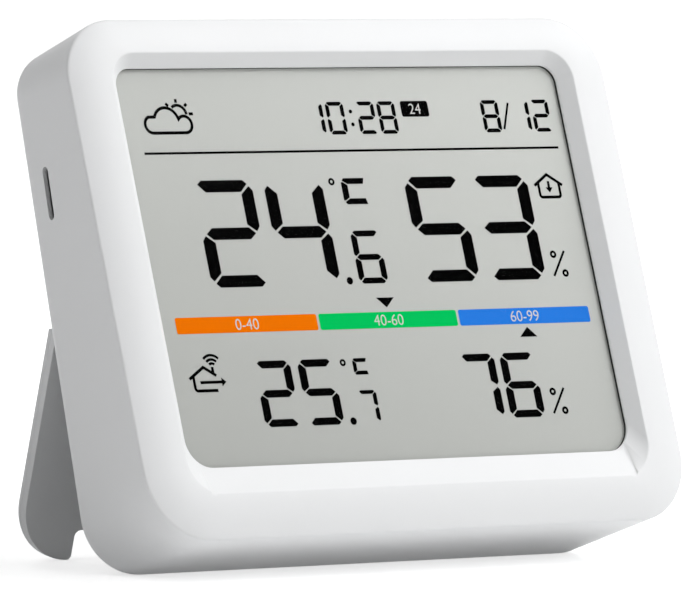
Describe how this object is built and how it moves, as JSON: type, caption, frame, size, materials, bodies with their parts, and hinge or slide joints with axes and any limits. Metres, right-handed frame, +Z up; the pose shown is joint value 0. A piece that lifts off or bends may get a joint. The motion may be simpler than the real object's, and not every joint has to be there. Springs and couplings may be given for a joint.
{
  "type": "temperature humidity sensor",
  "caption": "Desk temperature and humidity sensor: white wedge housing with a bevelled segment display, side vent slot, rear battery bay, mode button and a fold-out kickstand.",
  "frame": {"origin": "centre of the bounding box's base, on the surface that the object stands on", "axes": "+Z up, +X to the viewer's right along the housing's width, front faces -Y; the housing leans back on its open stand"},
  "size_m": [0.092, 0.041, 0.0741],
  "materials": {
    "shell_white": "fine moulded satin",
    "rear_white": "fine moulded satin",
    "door_white": "fine moulded satin",
    "stand_white": "fine moulded satin",
    "pin_steel": "ground",
    "lens_clear": "clear, polished",
    "lcd_glass": "polarised",
    "reflector": "satin film",
    "elastomer": "soft",
    "board_green": "solder mask",
    "shield_metal": "tinned sheet",
    "chip_black": "moulded",
    "plunger_grey": "moulded",
    "button_white": "fine moulded satin",
    "cell_wrap": "plain printed film",
    "contact_nickel": "nickel plated",
    "screw_steel": "zinc plated"
  },
  "bodies": {
    "housing": {"front_shell": "shell_white", "rear_cover": "rear_white", "hinge_pin_left": "pin_steel", "hinge_pin_right": "pin_steel", "display_lens": "lens_clear", "lcd_front_glass": "lcd_glass", "lcd_rear_glass": "lcd_glass", "lcd_reflector": "reflector", "elastomer_strip": "elastomer", "circuit_board": "board_green", "radio_module": "shield_metal", "driver_chip": "chip_black", "humidity_sensor": "chip_black", "switch_body": "chip_black", "cell_lower": "cell_wrap", "cell_upper": "cell_wrap", "contact_bridge": "contact_nickel", "contact_positive": "contact_nickel", "contact_negative": "contact_nickel", "cover_screw_1": "screw_steel", "cover_screw_2": "screw_steel", "cover_screw_3": "screw_steel", "cover_screw_4": "screw_steel", "board_screw_left": "screw_steel", "board_screw_right": "screw_steel"},
    "stand": {"kickstand": "stand_white"},
    "door": {"battery_door": "door_white"},
    "button": {"mode_button": "button_white", "switch_plunger": "plunger_grey"}
  },
  "joints": [
    {"name": "stand_hinge", "type": "hinge", "parent": "housing", "child": "stand", "pos_m": [0, 0.01024, 0.03114], "axis": [1, 0, 0], "range_deg": [-31.1, 0]},
    {"name": "door_lift", "type": "slide", "parent": "housing", "child": "door", "axis": [0, 0.9561, -0.2932], "range_m": [0, 0.012]},
    {"name": "button_press", "type": "slide", "parent": "housing", "child": "button", "axis": [0, -0.9361, 0.3518], "range_m": [0, 0.0005], "stiffness_N_per_m": 3000}
  ]
}
